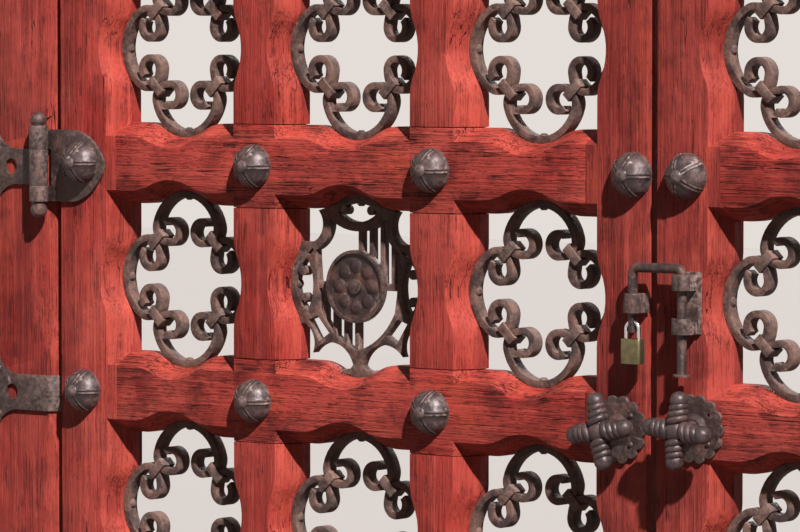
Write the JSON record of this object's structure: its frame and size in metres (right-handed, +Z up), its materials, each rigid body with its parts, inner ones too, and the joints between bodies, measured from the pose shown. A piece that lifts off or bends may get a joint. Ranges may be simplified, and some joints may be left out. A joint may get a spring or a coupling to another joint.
{
  "type": "double-leaf courtyard gate",
  "caption": "Weathered red timber lattice gate with two leaves in its frame, wrought-iron scroll grilles, domed bosses, strap hinges, four-armed handles and a padlocked bolt.",
  "frame": {"origin": "ground level under the middle of the gate's width and depth", "axes": "+X to the right seen from the front, the gate's width; +Z up; the front with the handles faces -Y"},
  "size_m": [2.75, 0.179, 2.1941],
  "materials": {
    "painted_timber": "old red paint on coarse timber, chipped and worn along its chamfers",
    "grille_iron": "wrought iron with brown surface rust",
    "dark_iron": "hammered dark iron with worn bright edges",
    "brass": "dull brass",
    "bright_steel": "bright plated steel"
  },
  "bodies": {
    "frame": {"left_jamb": "painted_timber", "right_jamb": "painted_timber", "head_beam": "painted_timber", "left_top_hinge_strap": "dark_iron", "left_middle_hinge_strap": "dark_iron", "left_bottom_hinge_strap": "dark_iron", "right_top_hinge_strap": "dark_iron", "right_middle_hinge_strap": "dark_iron", "right_bottom_hinge_strap": "dark_iron", "left_band_straps": "dark_iron", "right_band_straps": "dark_iron", "left_hinge_pins": "dark_iron", "right_hinge_pins": "dark_iron", "strap_nails": "dark_iron"},
    "left_leaf": {"left_hinge_stile": "painted_timber", "left_meeting_stile": "painted_timber", "left_rail_1": "painted_timber", "left_rail_2": "painted_timber", "left_rail_3": "painted_timber", "left_rail_4": "painted_timber", "left_rail_5": "painted_timber", "left_rail_6": "painted_timber", "left_muntins": "painted_timber", "left_scrolls": "grille_iron", "left_collars": "grille_iron", "left_grille_nails": "grille_iron", "left_shield": "grille_iron", "left_medallion": "grille_iron", "left_hinge_plates": "dark_iron", "left_bosses": "dark_iron", "left_rose": "dark_iron", "left_rose_screws": "dark_iron", "bolt_keeper": "dark_iron"},
    "left_handle_set": {"left_handle": "dark_iron", "left_handle_nut": "dark_iron"},
    "right_leaf": {"right_hinge_stile": "painted_timber", "right_meeting_stile": "painted_timber", "right_rail_1": "painted_timber", "right_rail_2": "painted_timber", "right_rail_3": "painted_timber", "right_rail_4": "painted_timber", "right_rail_5": "painted_timber", "right_rail_6": "painted_timber", "right_muntins": "painted_timber", "right_scrolls": "grille_iron", "right_collars": "grille_iron", "right_grille_nails": "grille_iron", "right_shield": "grille_iron", "right_medallion": "grille_iron", "right_hinge_plates": "dark_iron", "right_bosses": "dark_iron", "right_rose": "dark_iron", "right_rose_screws": "dark_iron", "bolt_plate": "dark_iron"},
    "right_handle_set": {"right_handle": "dark_iron", "right_handle_nut": "dark_iron"},
    "bolt": {"sliding_bolt": "dark_iron"},
    "padlock": {"padlock_body": "brass", "padlock_shackle": "bright_steel"}
  },
  "joints": [
    {"name": "left_leaf_swing", "type": "hinge", "parent": "frame", "child": "left_leaf", "pos_m": [-1.236, -0.038, 1.035], "axis": [0, 0, -1], "range_deg": [0, 100]},
    {"name": "right_leaf_swing", "type": "hinge", "parent": "frame", "child": "right_leaf", "pos_m": [1.236, -0.038, 1.035], "axis": [0, 0, 1], "range_deg": [0, 100]},
    {"name": "left_handle_turn", "type": "hinge", "parent": "left_leaf", "child": "left_handle_set", "pos_m": [-0.06, -0.071, 0.837], "axis": [0, 1, 0], "range_deg": [-90, 90]},
    {"name": "right_handle_turn", "type": "hinge", "parent": "right_leaf", "child": "right_handle_set", "pos_m": [0.082, -0.071, 0.845], "axis": [0, 1, 0], "range_deg": [-90, 90]},
    {"name": "bolt_lift", "type": "slide", "parent": "right_leaf", "child": "bolt", "axis": [0, 0, 1], "range_m": [0, 0.008]},
    {"name": "padlock_swing", "type": "hinge", "parent": "bolt", "child": "padlock", "pos_m": [-0.018, -0.044, 1.004], "axis": [-1, 0, 0], "range_deg": [-10, 75]}
  ]
}
